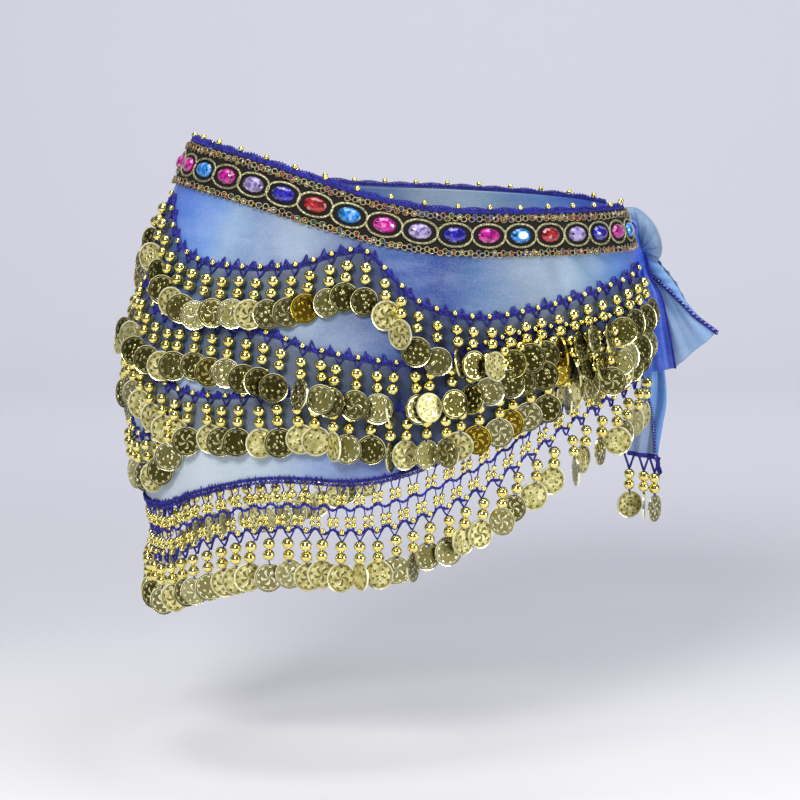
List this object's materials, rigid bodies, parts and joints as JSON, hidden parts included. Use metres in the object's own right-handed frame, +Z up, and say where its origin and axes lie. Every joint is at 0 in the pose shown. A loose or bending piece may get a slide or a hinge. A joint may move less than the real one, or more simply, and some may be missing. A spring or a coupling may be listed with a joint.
{
  "type": "belly dance hip scarf",
  "caption": "Sheer hip scarf worn round the hips and tied on one side, with a gem trim band, wavy rows of coin pendants, an open beaded net hem and a hanging tail.",
  "frame": {"origin": "the middle of the waist opening at the level of the band's front, where the hips hold the scarf", "axes": "+Z up, -Y to the wearer's front, +X to the wearer's left hip, where the scarf is tied"},
  "size_m": [0.4239, 0.2645, 0.3203],
  "materials": {
    "chiffon": "sheer shiny chiffon, dyed from pale sky to royal blue",
    "crochet": "royal blue crochet thread",
    "ribbon": "black velvety ribbon",
    "braid": "metallic ring braid with coloured threads",
    "coins": "stamped antique gold",
    "beads": "polished gold bead",
    "gems": "faceted resin gem"
  },
  "bodies": {
    "root": {"scarf_front": "chiffon", "scarf_back": "chiffon", "top_crochet": "crochet", "braid_upper": "braid", "trim_band": "ribbon", "braid_lower": "braid", "coin_row_1": "coins", "coin_row_2": "coins", "coin_row_3": "coins", "coin_row_4": "coins", "hem_net_front": "crochet", "hem_net_back": "crochet", "hem_coins": "coins", "tie_knot": "chiffon", "tie_loop": "chiffon", "tail_wing": "chiffon", "tie_flap": "chiffon", "tail_hanging": "chiffon", "tail_coins": "coins"}
  },
  "joints": []
}
